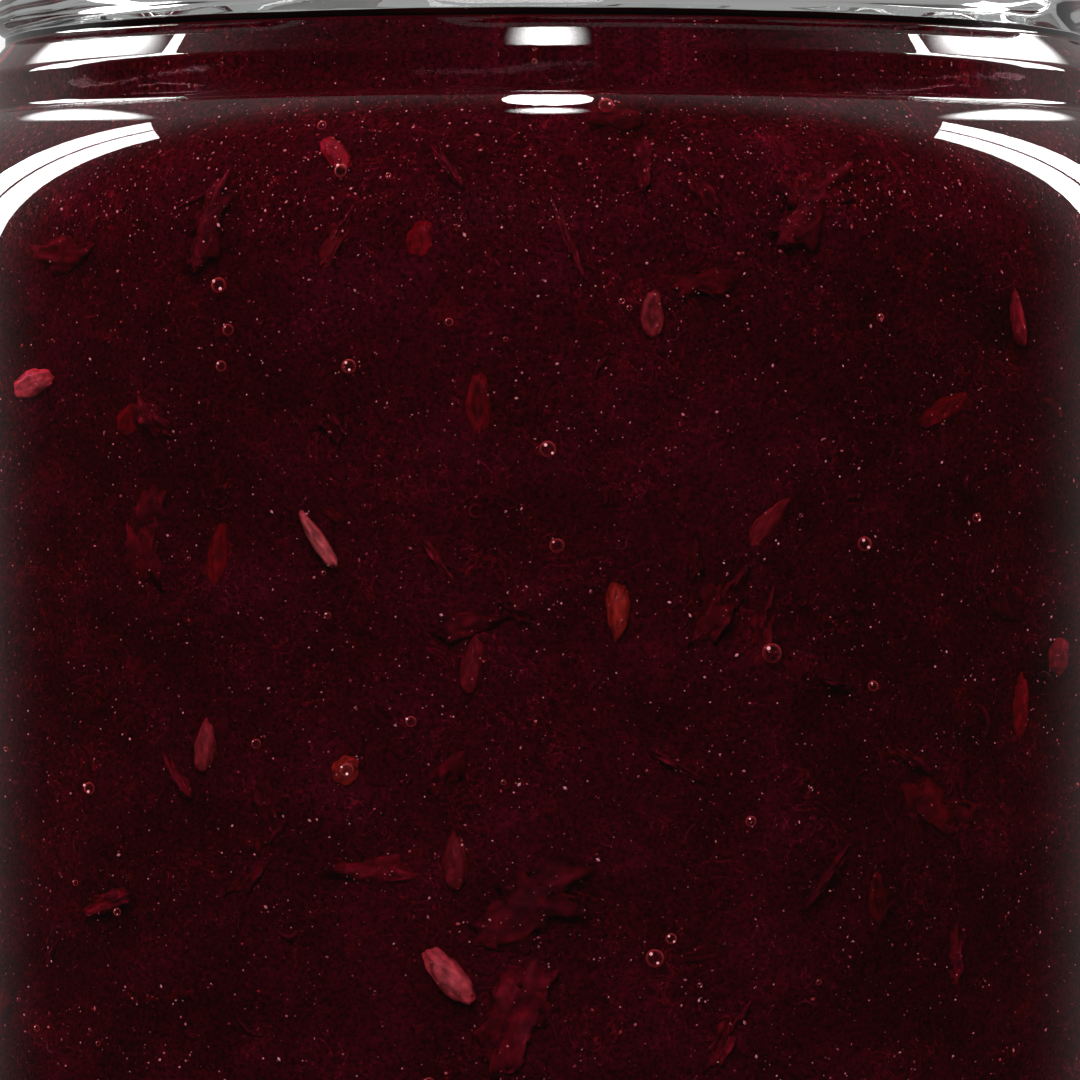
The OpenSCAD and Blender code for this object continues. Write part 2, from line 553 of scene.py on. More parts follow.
def make_glass():
    s = sizes()
    outer = [
        (s.ring_in, 0, 0.6 * MM),
        (s.body, 0, s.heel),
        (s.body, s.shoulder_z, s.shoulder * 0.98),
        (s.top_edge, s.ledge_z, s.edge * 0.7),
        (s.band, s.ledge_z, s.ledge_fillet),
        (s.band, s.band_z, 0.7 * MM),
        (s.finish, s.collar_z, s.edge * 1.4),
    ]
    neck_top = (s.finish, s.collar_z + s.edge, 0)
    round_rim = s.finish_wall / 2
    under = cap(s.ring_in, s.push_up, 0, DOME_STEPS)[::-1]
    foot_to_neck = rounded([(0, s.push_up, 0)] + outer + [neck_top], 2 * MM)
    below = [p for p in foot_to_neck if p[0] > s.ring_in or p[1] > s.push_up + MM]
    thread = rounded([neck_top, (s.finish, s.height - round_rim, 0)], 0.12 * MM)
    steps = 24
    middle = s.finish - round_rim
    rim = [
        (
            middle + round_rim * math.cos(math.pi * i / steps),
            s.height - round_rim + round_rim * math.sin(math.pi * i / steps),
        )
        for i in range(steps + 1)
    ]
    inner = rounded(
        [(s.mouth, s.height - round_rim, 0), (s.mouth, JAM_LEVEL, 0)] + inner_corners(s)
        + [(s.body - s.wall - s.corner, s.foot, 0)],
        1.2 * MM,
    )
    floor = cap(s.body - s.wall - s.corner, s.floor_rise, s.foot, DOME_STEPS)
    outline = under[:-1] + below + thread[1:] + rim[1:]
    inside_from = len(outline)
    outline += inner[1:] + floor[1:]
    inside = [float(i >= inside_from) for i in range(len(outline))]
    wet = [float(i >= inside_from and p[1] <= JAM_LEVEL + TINY) for i, p in enumerate(outline)]
    bm = bmesh.new()
    layers = spin(bm, outline, GLASS_STEPS, {"inside": inside, "wet": wet})
    for v in bm.verts:
        radius = math.hypot(v.co.x, v.co.y)
        if radius < MM:
            continue
        out = Vector((v.co.x / radius, v.co.y / radius, 0))
        if v[layers["inside"]] > 0.5:
            v.co += v.normal * wave_inside(s, v.co)
        elif v.co.z > s.collar_z and radius > s.finish - 0.1 * MM:
            v.co += out * lug_offset(s, math.atan2(v.co.y, v.co.x), v.co.z)
        elif v.co.z > s.heel:
            v.co += v.normal * 0.012 * MM * noise.noise(v.co / (9 * MM))
    neck_from = s.ledge_z - 1.5 * MM
    for f in bm.faces:
        if all(v[layers["wet"]] > 0.5 for v in f.verts):
            f.material_index = 2 if f.verts[0].co.z > neck_from else 1
    dry = glass_material("clear_glass", GLASS_IOR)
    # Glass against jam bends light far less than glass against air. In the neck the jam has
    # drawn back a little, and the glass shows more
    against_jam = glass_material("glass_against_jam", TOUCHING_IOR)
    neck_glass = glass_material("neck_glass", NECK_IOR)
    finish(bm, "jar_glass", [dry, against_jam, neck_glass], "jar")


def wave_inside(s, place):
    """Unevenness of the blown inside, stronger in the neck and shoulder."""
    neck = min(max((place.z - (s.shoulder_z - 6 * MM)) / (10 * MM), 0.0), 1.0)
    slow = noise.noise(place / (11 * MM))
    # In the neck the waves are drawn out round it
    flat = Vector((place.x, place.y, place.z * 3.2)) / (5.5 * MM)
    quick = noise.noise(flat + Vector((7, 3, 1)))
    return s.wave * (slow * (0.7 + 1.6 * neck) + quick * (0.15 + 4.0 * neck))


# ---------------------------------------------------------------- the jam


def jam_outline(s, out, top, step):
    """Outline of the jam from the top's middle to the floor's middle, moved out from the glass."""
    corners = [(0, top, 0), (s.mouth + out, top, 0)] + inner_corners(s, out)
    corners.append((s.body - s.wall - s.corner, s.foot - out, 0))
    floor = cap(s.body - s.wall - s.corner, s.floor_rise, s.foot - out, 12)
    return rounded(corners, step) + floor[1:]


def make_jelly():
    """The clear part of the jam. It stands for the jam, and reaches just into the glass."""
    s = sizes()
    outline = jam_outline(s, s.reach, JAM_LEVEL, 1.5 * MM)
    top = [float(z > JAM_LEVEL - TINY) for x, z in outline]
    bm = bmesh.new()
    layers = spin(bm, outline, JELLY_STEPS, {"top": top})
    for v in bm.verts:
        if v[layers["top"]] > 0.5:
            radius = math.hypot(v.co.x, v.co.y)
            inward = min(max((s.mouth - radius) / (3 * MM), 0.0), 1.0)
            v.co.z -= 0.12 * MM * inward * (1 + noise.noise(v.co / (5 * MM)))
            v.co.z += 0.05 * MM * noise.noise(v.co / (4 * MM)) * (1 - inward) - 0.04 * MM
    finish(bm, "jam_jelly", [jelly_material()], "jam")


def make_core():
    """The dark jam inside, an uneven body that the clear layer lies over."""
    s = sizes()
    top = JAM_LEVEL - CORE_TOP_DEPTH
    outline = jam_outline(s, -s.clear, top, 0.75 * MM)
    bm = bmesh.new()
    spin(bm, outline, CORE_STEPS)
    for v in bm.verts:
        lumps = noise.noise(v.co / (3.4 * MM)) * 0.55 + noise.noise(v.co / (1.3 * MM)) * 0.3
        calm = min(max((top - v.co.z) / (2 * MM), 0.04), 1.0)
        v.co += v.normal * s.clear * 0.75 * lumps * calm
    finish(bm, "jam_core", [core_material()])


class Wall:
    """The inside of the glass, as places for what lies in the jam just behind it."""

    def __init__(self, s):
        points = rounded(
            [(s.mouth, JAM_LEVEL, 0)] + inner_corners(s) + [(s.body - s.wall - s.corner, s.foot, 0)],
            0.5 * MM,
        )
        points.reverse()
        self.z = np.array([p[1] for p in points])
        self.r = np.array([p[0] for p in points])
        self.low, self.high = s.foot + 1.5 * MM, JAM_LEVEL - 1.0 * MM
        self.neck = s.shoulder_z - 4 * MM

    def place(self, turn, z, depth):
        """Matrix at a direction from the front (radians, to the right) and a height, depth behind the
        glass. Its X is to the right, Y up the wall and Z out."""
        r = float(np.interp(z, self.z, self.r))
        step = 0.3 * MM
        lean = float(np.interp(z + step, self.z, self.r) - np.interp(z - step, self.z, self.r))
        up = Vector((lean, 0, 2 * step)).normalized()
        out = Vector((up.z, 0, -up.x))
        direction = turn - math.pi / 2
        turned = Matrix.Rotation(direction, 3, "Z")
        up, out = turned @ up, turned @ out
        right = up.cross(out)
        here = turned @ Vector((r, 0, 0)) + Vector((0, 0, z)) - out * depth
        m = Matrix((right, up, out)).transposed().to_4x4()
        m.translation = here
        return m

    def anywhere(self, rng, depth, low=None, high=None):
        z = rng.uniform(low or self.low, high or self.high)
        return self.place(rng.uniform(-math.pi, math.pi), z, depth)


def shape_arrays(bm, light=None):
    """Vertices, triangles and a lightness per vertex of a small shape, for joining many copies. The
    lightness carries painted light and shade where the shape has it.
    """
    bmesh.ops.triangulate(bm, faces=bm.faces)
    bm.verts.ensure_lookup_table()
    points = np.array([v.co for v in bm.verts])
    faces = np.array([[v.index for v in f.verts] for f in bm.faces])
    lights = np.array([light(v.co) if light else 1.0 for v in bm.verts])
    bm.free()
    return points, faces, lights


def join_copies(name, copies):
    """One mesh of many copies: (shape arrays, matrix, tone)."""
    points, faces, tones = [], [], []
    start = 0
    for (shape, triangles, lights), matrix, tone in copies:
        m = np.array(matrix)
        points.append(shape @ m[:3, :3].T + m[:3, 3])
        faces.append(triangles + start)
        start += len(shape)
        # The tone attribute is each copy's colour times its painted light and shade
        tones.append(np.column_stack((np.outer(lights, tone), np.ones(len(shape)))))
    mesh = bpy.data.meshes.new(name)
    mesh.from_pydata(np.concatenate(points), [], np.concatenate(faces))
    layer = mesh.color_attributes.new("tone", "FLOAT_COLOR", "POINT")
    layer.data.foreach_set("color", np.concatenate(tones).ravel())
    return mesh


def ball(detail):
    bm = bmesh.new()
    bmesh.ops.create_icosphere(bm, subdivisions=detail, radius=0.5)
    return bm


def seed_shape(rng, detail, taper, bend, dent):
    """A seed of unit length along Y and unit width: tapered to its top, bent, dented on its face.
    Its tone holds painted light: lighter at its rim, and darker in its hollow by painted shade. It is
    also lighter at its worn spots."""
    bm = ball(detail)
    offset = Vector([rng.uniform(0, 50) for _ in range(3)])
    lights = {}
    for v in bm.verts:
        x, y, z = v.co
        rim = min(max((math.hypot(x, y) - 0.26) / 0.2, 0.0), 1.0)
        spots = noise.noise(v.co * 5 + offset) + 0.6 * noise.noise(v.co * 12 - offset)
        narrow = 1 - taper * (y + 0.5)
        x *= narrow
        z *= narrow * 0.9
        x += bend * (y * y - 0.12)
        hollow = math.exp(-((x / 0.22) ** 2) - ((y + 0.08) / 0.3) ** 2)
        if z > 0:
            z -= dent * hollow * z
        rough = noise.noise(Vector((x, y, z)) * 4 + offset) * 0.09
        rough += noise.noise(Vector((x, y, z)) * 10 + offset) * 0.06
        v.co = Vector((x, y, z)) * (1 + 1.6 * rough)
        # Painted light: the tone rises at the rim and falls in the dented hollow as painted shade; the
        # worn spots add real tone
        lights[v.index] = max(0.7 + 0.9 * dent * (rim - 0.6) + 0.6 * spots, 0.2)
    order = iter(sorted(lights))
    return shape_arrays(bm, lambda co: lights[next(order)])


# What shows best at the front: turn from the front (degrees, to the right), height over the
# middle of the view (mm), lean to the right (degrees), length and width (mm), depth behind the
# glass (mm), colour name and the shape's number.
FRONT_SEEDS = (
    (-51, 8.5, 76, 3.3, 1.5, 0.25, "pale", 3),
    (-20, 0, -34, 3.6, 0.95, 0.15, "pale", 0),
    (9, 12, 0, 2.5, 1.5, 0.25, "rose", 2),
    (-8.5, -23, -40, 3.7, 1.7, 0.2, "pale", 1),
    (-31, -11, 8, 2.8, 1.4, 0.3, "rose", 4),
    (6, -3.8, 180, 3.1, 1.5, 0.35, "amber", 5),
    (-6, 7.3, 0, 3.3, 1.6, 0.7, "red", 2),
    (-17.5, -12.2, 20, 1.6, 1.5, 0.3, "amber", 3),
    (37, 7, 62, 3.5, 1.5, 0.75, "red", 4),
    (45.5, 12, -12, 3.1, 1.3, 0.5, "rose", 5),
    (19.5, 1, 40, 3.5, 1.4, 0.65, "rose", 5),
    (-6.5, -6.6, 10, 3.1, 1.4, 0.6, "dull", 4),
    (51, -6.3, 20, 2.1, 1.7, 0.4, "rose", 3),
    (46, -9, 5, 3.4, 1.4, 0.7, "red", 4),
    (-30, -1, 6, 3.8, 1.5, 0.75, "red", 0),
    (-19.5, 20.3, -45, 2.5, 1.2, 0.25, "red", 1),
    (-8, -17, 0, 3, 1.6, 0.45, "dull", 4),
    (30, -19, -6, 3, 1.3, 0.8, "dull", 2),
    (-39.5, 6.4, 30, 2, 1.6, 0.85, "red", 3),
    (-11, 16, 10, 1.8, 1.4, 0.7, "red", 3),
    (-19, 15.5, 25, 2.4, 1.3, 0.65, "dull", 5),
    (23.5, 19, 50, 1.8, 1.2, 0.75, "dull", 3),
)
SEED_TONES = {
    "pale": (0.9, 0.36, 0.32),
    "rose": (0.5, 0.11, 0.12),
    "amber": (0.62, 0.13, 0.06),
    "red": (0.42, 0.022, 0.045),
    "dull": (0.3, 0.045, 0.06),
}


def make_seeds():
    s = sizes()
    wall = Wall(s)
    rng = random.Random(11)
    kinds = [
        (0.25, 0.22, 0), (0.15, 0.12, 0.05), (0.4, 0.08, 0.6),
        (0.15, 0.25, 0.4), (0.3, -0.25, 0.1), (0.4, 0.15, 0),
    ]
    near = [seed_shape(rng, 4, *k) for k in kinds]
    far = [seed_shape(rng, 3, *k) for k in kinds]
    copies = []

    def lay(shape, matrix, lean, long, wide, tone):
        flat = wide * rng.uniform(0.6, 0.8)
        turn = Matrix.Rotation(-lean, 4, "Z")
        size = Matrix.Diagonal((wide, long, flat, 1))
        tone = [k * rng.uniform(0.85, 1.15) for k in tone]
        copies.append((shape, matrix @ turn @ size, tone))

    for turn, up, lean, long, wide, depth, tone, kind in FRONT_SEEDS:
        place = wall.place(math.radians(turn), EYE_HEIGHT + up * MM, (depth + 0.3 * wide) * MM)
        lay(near[kind], place, math.radians(lean), long * MM, wide * MM, SEED_TONES[tone])
    names = sorted(SEED_TONES)
    for _ in range(s.seeds):
        turn = rng.uniform(FRONT_TURN, 2 * math.pi - FRONT_TURN)
        wide = rng.uniform(0.9, 1.6)
        depth = rng.uniform(0.25, 0.85)
        place = wall.place(turn, rng.uniform(wall.low, wall.high - 1.5 * MM), (depth + 0.3 * wide) * MM)
        tone = SEED_TONES["pale" if rng.random() < 0.12 else rng.choice(names)]
        lay(rng.choice(far), place, rng.uniform(-math.pi, math.pi),
            rng.uniform(1.8, 3.7) * MM, wide * MM, tone)
    # Below the frame of the front view the seeds go on as round the sides
    for _ in range(s.seeds // 4):
        place = wall.place(
            rng.uniform(-FRONT_TURN, FRONT_TURN), rng.uniform(wall.low, EYE_HEIGHT - FRONT_DROP),
            rng.uniform(0.5, 1.1) * MM,
        )
        lay(rng.choice(far), place, rng.uniform(-math.pi, math.pi),
            rng.uniform(1.8, 3.7) * MM, rng.uniform(0.9, 1.6) * MM, SEED_TONES[rng.choice(names)])
    mesh = join_copies("seeds", copies)
    add_piece(mesh, "seeds", [toned_material("seed_coat", 0.6, 2.2, 0.3, 0.1 * MM, 0.5)])


def scrap_shape(rng, detail=3):
    """A torn scrap: a flat lump, pushed about until its outline is ragged, with painted highlights:
    lighter along ridges of a noise, as if each fold caught the light.
    """
    bm = ball(detail)
    offset = Vector([rng.uniform(0, 50) for _ in range(3)])
    for v in bm.verts:
        flat = Vector((v.co.x, v.co.y, 0))
        tear = 1 + 0.7 * noise.noise(flat * 2.6 + offset) + 0.45 * noise.noise(flat * 7 + offset)
        tear += 0.25 * noise.noise(flat * 15 + offset)
        v.co.x *= tear
        v.co.y *= tear
        v.co.z += 0.9 * noise.noise(flat * 3 - offset)
        v.co.z += 0.35 * noise.noise(flat * 9 - offset)

    def light(co):
        # Painted highlight: the tone is raised along the ridges of a noise
        fold_highlight = abs(noise.noise(co * 4 + offset)) + 0.5 * abs(noise.noise(co * 10 - offset))
        return 0.35 + 1.7 * fold_highlight

    return shape_arrays(bm, light)


# Turn, height, lean, length, width and depth, as for the seeds
FRONT_SCRAPS = (
    (-1.5, -19.2, 70, 5.4, 3.6, 1.0),
    (-2.5, -25, 15, 5.6, 3.4, 0.95),
    (15, -3.5, 30, 4.2, 2.2, 1.05),
    (24, 18, 60, 4.8, 2.4, 1.05),
    (-37, 1, 10, 3.8, 2.2, 1),
    (-26, -17, 35, 4.2, 2, 1.05),
    (-31, 17, 25, 4, 1.7, 0.95),
    (-25, -14, -20, 3, 1.6, 1.05),
    (-18.5, 16, 25, 2.8, 1.1, 0.9),
    (-9, 19.7, -35, 2.4, 0.6, 0.8),
    (8.7, 20, 5, 2.6, 1.2, 0.95),
    (13.6, 18.7, -30, 3.2, 0.9, 0.9),
    (21.5, 18.5, 0, 1.4, 1.1, 0.85),
    (-36.8, 6.6, -60, 2.5, 1.5, 0.9),
    (-19, 6.3, -30, 2.3, 1.2, 0.9),
    (1.8, 15.8, -20, 3.4, 0.5, 0.85),
    (-9.5, -1, -35, 2.8, 0.6, 0.85),
    (19, -4.7, 10, 3.6, 1.2, 0.95),
    (24.7, -18, 40, 3.4, 0.6, 0.8),
    (10.8, -11.8, -60, 3, 0.5, 0.85),
    (15.7, -26.3, 30, 3.5, 1.2, 0.9),
    (-34, -12.6, -30, 2.4, 0.7, 0.85),
    (-41.5, -19.5, 70, 3, 1.2, 0.9),
    (-48.5, -22, 10, 1.9, 0.8, 0.7),
    (33.5, -11.8, -50, 2, 0.8, 0.85),
    (25.6, -7.6, -70, 2.2, 0.5, 0.75),
    (-3, -3.7, -60, 2, 0.8, 0.9),
    (38, -22.4, 10, 2.6, 1, 0.9),
)


def make_scraps():
    s = sizes()
    wall = Wall(s)
    rng = random.Random(23)
    shapes = [scrap_shape(rng, 4) for _ in range(3)] + [scrap_shape(rng) for _ in range(7)]
    copies = []

    def lay(shape, place, lean, long, wide):
        size = Matrix.Diagonal((wide, long, rng.uniform(0.4, 0.6) * MM, 1))
        bright = rng.uniform(0.5, 1.0)
        tone = (0.27 * bright, 0.026 * bright, 0.06 * bright)
        copies.append((shape, place @ Matrix.Rotation(-lean, 4, "Z") @ size, tone))

    for i, (turn, up, lean, long, wide, depth) in enumerate(FRONT_SCRAPS):
        place = wall.place(math.radians(turn), EYE_HEIGHT + up * MM, depth * MM)
        lay(shapes[i % 3], place, math.radians(lean), long * MM, wide * MM)
    for _ in range(s.scraps):
        place = wall.anywhere(rng, rng.uniform(1.0, 1.35) * MM, high=wall.high - 2.5 * MM)
        long = rng.uniform(1.5, 5) * MM
        lay(shapes[3 + rng.randrange(7)], place, rng.uniform(-math.pi, math.pi), long,
            long * rng.uniform(0.3, 0.7))
    mesh = join_copies("scraps", copies)
    add_piece(mesh, "scraps", [toned_material("wet_skin", 0.35, 1.6, 0.35, 0.15 * MM)])


def make_fibres():
    """Fine curled strands, as a curve of many open splines. Some are pale curls near the neck."""
    s = sizes()
    wall = Wall(s)
    rng = random.Random(37)
    curve = bpy.data.curves.new("fibres", "CURVE")
    curve.dimensions = "3D"
    curve.bevel_depth = 0.04 * MM
    curve.bevel_resolution = 0
    curve.use_fill_caps = True
    for i in range(s.fibres):
        pale = i % 4 == 0
        strand = i % 8 == 2
        turn = rng.uniform(-math.pi, math.pi)
        z = rng.uniform(wall.neck if pale and i % 12 == 0 else wall.low, wall.high)
        if strand:
            depth = rng.uniform(0.9, 1.15) * MM
        else:
            depth = rng.uniform(0.05, 0.4 if pale else 0.85) * MM
        heading = rng.uniform(-math.pi, math.pi)
        curl = rng.gauss(0, 0.55 if pale else 0.25)
        count = rng.randint(8, 14) if strand else rng.randint(4, 8)
        step = rng.uniform(0.07, 0.12 if pale else 0.25) * MM
        thick = rng.uniform(0.35, 0.6) if pale else rng.uniform(0.5, 1.3)
        if strand:
            thick = rng.uniform(2.5, 5)
        spline = curve.splines.new("POLY")
        spline.material_index = int(pale)
        spline.points.add(count - 1)
        for k, point in enumerate(spline.points):
            z = min(max(z, wall.low), wall.high)
            point.co = (*wall.place(turn, z, depth).translation, 1)
            point.radius = thick * (0.25 + 0.75 * math.sin(math.pi * (k + 0.5) / count))
            heading += curl + rng.gauss(0, 0.12 if strand else 0.35)
            turn += step * math.cos(heading) / (s.body - s.wall)
            z += step * math.sin(heading)
            depth = max(depth + rng.gauss(0, 0.05) * MM, 0.08 * MM)
    # The pale curls have a faint painted glow by emission
    add_piece(curve, "fibres", [fibre_material(), speck_material("pale_curl", 0.05)])


# Turn, height, width and depth of the bubbles that show best
FRONT_BUBBLES = (
    (-29.5, 13.6, 0.85, 0.5),
    (-28.5, 11.2, 0.65, 0.4),
    (-17.2, 9.2, 0.8, 0.4),
    (9.2, -22.1, 1, 0.55),
    (28.3, -0.2, 0.8, 0.45),
    (19.6, -6, 1.1, 0.6),
    (-11.7, -9.6, 0.6, 0.35),
    (-43.5, -13.4, 0.7, 0.4),
    (17.6, -14.9, 0.6, 0.35),
    (0, 4.8, 0.9, 0.5),
    (0.8, -0.3, 0.8, 0.5),
    (-17.3, -12.2, 0.75, 0.2),
    (5.7, 22.5, 0.8, 0.45),
    (-18.5, 19.3, 0.7, 0.2),
    (-21.5, 21.5, 0.5, 0.25),
)


def make_bubbles():
    s = sizes()
    wall = Wall(s)
    rng = random.Random(5)
    shape = shape_arrays(ball(3))
    dot = shape_arrays(ball(2))
    bubbles, glints = [], []

    def lay(place, wide):
        bubbles.append((shape, place @ Matrix.Scale(wide, 4), (1, 1, 1)))
        # Painted glints: a glowing pale dot near the top and often one near the bottom, where light
        # would gather
        for up in (1, -1):
            if up < 0 and rng.random() < 0.5:
                continue
            at = Vector((-0.2 * up + rng.uniform(-0.1, 0.1), 0.24 * up, 0.42)) * wide
            across = wide * rng.uniform(0.13, 0.24)
            glints.append((dot, place @ Matrix.Translation(at) @ Matrix.Scale(across, 4), (1, 1, 1)))

    for turn, up, wide, depth in FRONT_BUBBLES:
        lay(wall.place(math.radians(turn), EYE_HEIGHT + up * MM, (depth + 0.05) * MM), wide * MM)
    for _ in range(s.bubbles):
        wide = rng.triangular(0.15, 0.7, 0.3) * MM
        lay(wall.anywhere(rng, wide * 0.5 + 0.05 * MM), wide)
    add_piece(join_copies("bubbles", bubbles), "bubbles", [bubble_material()])
    # The glints are painted highlights: pale dots that glow by emission
    add_piece(join_copies("glints", glints), "glints", [speck_material("glint", 0.7)])


def make_specks():
    """Fine specks in two layers, the pale one close to the glass. They are thickest at the shoulder."""
    s = sizes()
    wall = Wall(s)
    rng = random.Random(71)
    bm = bmesh.new()
    bmesh.ops.create_uvsphere(bm, u_segments=4, v_segments=2, radius=0.5)
    shape = shape_arrays(bm)
    red = Vector((0.45, 0.05, 0.07))
    white = Vector((1, 1, 1))
    for name, deepest, palest, glow in (("specks", 0.3, 1.0, 0.28), ("motes", 0.7, 0.5, 0.07)):
        copies = []
        for i in range(s.specks):
            near = i % 8 == 0
            high = wall.high if i % 12 == 0 else s.ledge_z - 0.8 * MM
            depth = rng.uniform(0.02, deepest) * MM
            wide = min(rng.lognormvariate(-2.65, 0.4), 0.18) * MM
            place = wall.anywhere(rng, depth + wide / 2, wall.neck if near else None, high)
            tone = red.lerp(white, palest * rng.random() ** (0.6 if near else 0.8))
            size = Matrix.Diagonal((wide, wide * rng.uniform(0.8, 1.8), wide, 1))
            turn = Matrix.Rotation(rng.uniform(0, math.pi), 4, "Z")
            copies.append((shape, place @ turn @ size, tone))
        # The glow is painted light: the specks shine by emission, not only by the lamps
        material = speck_material(name, glow, "tone")
        add_piece(join_copies(name, copies), name, [material])


# ---------------------------------------------------------------- floor, light and camera


FLOOR_RADIUS = 0.62
LENS = 270
SENSOR = 36
CAMERA_PLACE = (-0.4 * MM, -463 * MM, EYE_HEIGHT)


def lamp(name, place, target, size, strength, shape="RECTANGLE", gloss=True, along=None):
    """An area light at a place, turned to a target. strength is its brightness as seen.
    along is the direction of its width, where it isn't level."""
    data = bpy.data.lights.new(name, "AREA")
    data.shape = shape
    data.size, data.size_y = size
    area = size[0] * size[1] * (1 if shape == "RECTANGLE" else math.pi / 4)
    data.energy = strength * area * math.pi
    light = bpy.data.objects.new(name, data)
    light.location = place
    light.rotation_mode = "QUATERNION"
    facing = (Vector(place) - Vector(target)).normalized()
    light.rotation_quaternion = facing.to_track_quat("Z", "Y")
    if along:
        across = facing.cross(Vector(along)).normalized()
        turned = Matrix((across.cross(facing), across, facing)).transposed()
        light.rotation_quaternion = turned.to_quaternion()
    light.visible_camera = False
    light.visible_glossy = gloss
    bpy.context.scene.collection.objects.link(light)
    return light


def soften(data):
    """Fades a lamp out from its middle to its edge."""
    data.use_nodes = True
    tree = data.node_tree
    place = tree.nodes.new("ShaderNodeNewGeometry").outputs["Parametric"]
    away = tree.nodes.new("ShaderNodeVectorMath")
    away.operation = "DISTANCE"
    tree.links.new(place, away.inputs[0])
    away.inputs[1].default_value = (0.5, 0.5, 0)
    fade = tree.nodes.new("ShaderNodeMapRange")
    fade.interpolation_type = "SMOOTHSTEP"
    fade.inputs["From Min"].default_value = 0.5
    fade.inputs["From Max"].default_value = 0.05
    tree.links.new(away.outputs["Value"], fade.inputs["Value"])
    tree.links.new(fade.outputs[0], tree.nodes["Emission"].inputs["Strength"])


def side_panels():
    """Tall panels behind the jar at its left and right, each of two strips side by side."""
    distance, low, high = 0.66, 0.2, 0.875
    wide, gap, strength = 0.095, 0.012, 18
    from_behind = math.radians(63.5)
    for side in (-1, 1):
        turn = from_behind * side
        middle = Vector((math.sin(turn) * distance, math.cos(turn) * distance, (low + high) / 2))
        across = Vector((math.cos(turn), -math.sin(turn), 0))
        for strip in (-1, 1):
            place = middle + across * strip * (wide + gap) / 2
            target = (place.x - middle.x, place.y - middle.y, place.z)
            lamp("side_panel", place, target, (wide, high - low), strength)


def collar_glints():
    """Small reflectors just over the neck. They show only as highlights on the collar."""
    lit = bpy.data.collections.new("collar_glass")
    if "jar_glass" in bpy.data.objects:
        lit.objects.link(bpy.data.objects["jar_glass"])
    aim = Vector((0, -0.032, 0.106))
    glints = [lamp("glint", (0, -0.033, 0.1277), aim, (0.0085, 0.0034), 34, shape="ELLIPSE")]
    for side in (-1, 1):
        place = Vector((0.0442 * side, 0.0045, 0.1296))
        aim = (0.0242 * side, -0.0205, 0.106)
        along = (-0.1 * side, -0.887, 0.448)
        glints.append(lamp("glint", place, aim, (0.03, 0.0048), 30, shape="ELLIPSE", along=along))
    for light in glints:
        soften(light.data)
        light.light_linking.receiver_collection = lit
        light.visible_diffuse = False
        light.visible_transmission = False


def make_stage():
    bm = bmesh.new()
    bmesh.ops.create_circle(bm, cap_ends=True, segments=128, radius=FLOOR_RADIUS)
    mesh = bpy.data.meshes.new("floor")
    bm.to_mesh(mesh)
    bm.free()
    floor = bpy.data.objects.new("floor", mesh)
    mesh.materials.append(floor_material())
    bpy.context.scene.collection.objects.link(floor)
    side_panels()
    collar_glints()
    neck, middle = (0, 0, 0.1), (0, 0, 0.07)
    lamp("overhead", (0, 0.17, 1.08), neck, size=(0.13, 0.16), strength=26, shape="ELLIPSE")
    lamp("front", (-0.12, -0.9, 0.7), middle, size=(0.5, 0.5), strength=6.5, gloss=False)
    make_world()
    make_camera()


def make_world():
    """Pale surroundings that stay dark in the glass's reflections, but for a soft glow behind."""
    world = bpy.data.worlds.new("studio")
    bpy.context.scene.world = world
    world.use_nodes = True
    # The surroundings are smooth, so they need no light samples of their own
    world.cycles.sampling_method = "NONE"
    nodes, links = world.node_tree.nodes, world.node_tree.links
    nodes.clear()

    def background(rgb, strength):
        node = nodes.new("ShaderNodeBackground")
        node.inputs["Color"].default_value = (*rgb, 1)
        node.inputs["Strength"].default_value = strength
        return node

    def mix(factor, first, second):
        node = nodes.new("ShaderNodeMixShader")
        links.new(factor, node.inputs[0])
        links.new(first.outputs[0], node.inputs[1])
        links.new(second.outputs[0], node.inputs[2])
        return node

    def calculate(value, operation, number):
        node = nodes.new("ShaderNodeMath")
        node.operation = operation
        links.new(value, node.inputs[0])
        node.inputs[1].default_value = number
        return node.outputs[0]

    path = nodes.new("ShaderNodeLightPath")
    # The glow grows towards what is behind the jar, a little more at the right
    direction = nodes.new("ShaderNodeTexCoord").outputs["Generated"]
    behind = nodes.new("ShaderNodeVectorMath")
    behind.operation = "DOT_PRODUCT"
    links.new(direction, behind.inputs[0])
    behind.inputs[1].default_value = (0.05, 1, 0)
    steepness, rise, most, least = 2.5, 5.0, 0.3, 0.035
    ahead = calculate(behind.outputs["Value"], "MAXIMUM", 0.0)
    curve = calculate(calculate(ahead, "POWER", steepness), "MULTIPLY", rise)
    glow = background((1, 1, 1), 1.0)
    links.new(calculate(calculate(curve, "MINIMUM", most), "ADD", least), glow.inputs["Strength"])
    ambient = background((1, 0.98, 0.97), 0.55)
    pale = background((0.93, 0.925, 0.92), 1.0)
    # Through the glass the walls are pale and the ceiling is dark
    split = nodes.new("ShaderNodeSeparateXYZ")
    links.new(direction, split.inputs[0])
    ceiling = nodes.new("ShaderNodeMapRange")
    ceiling.inputs["From Min"].default_value = 0.25
    ceiling.inputs["From Max"].default_value = 0.5
    links.new(split.outputs["Z"], ceiling.inputs["Value"])
    through = mix(ceiling.outputs[0], pale, glow)
    shown = mix(path.outputs["Is Camera Ray"], ambient, pale)
    shown = mix(path.outputs["Is Transmission Ray"], shown, through)
    whole = mix(path.outputs["Is Glossy Ray"], shown, glow)
    output = nodes.new("ShaderNodeOutputWorld")
    links.new(whole.outputs[0], output.inputs["Surface"])


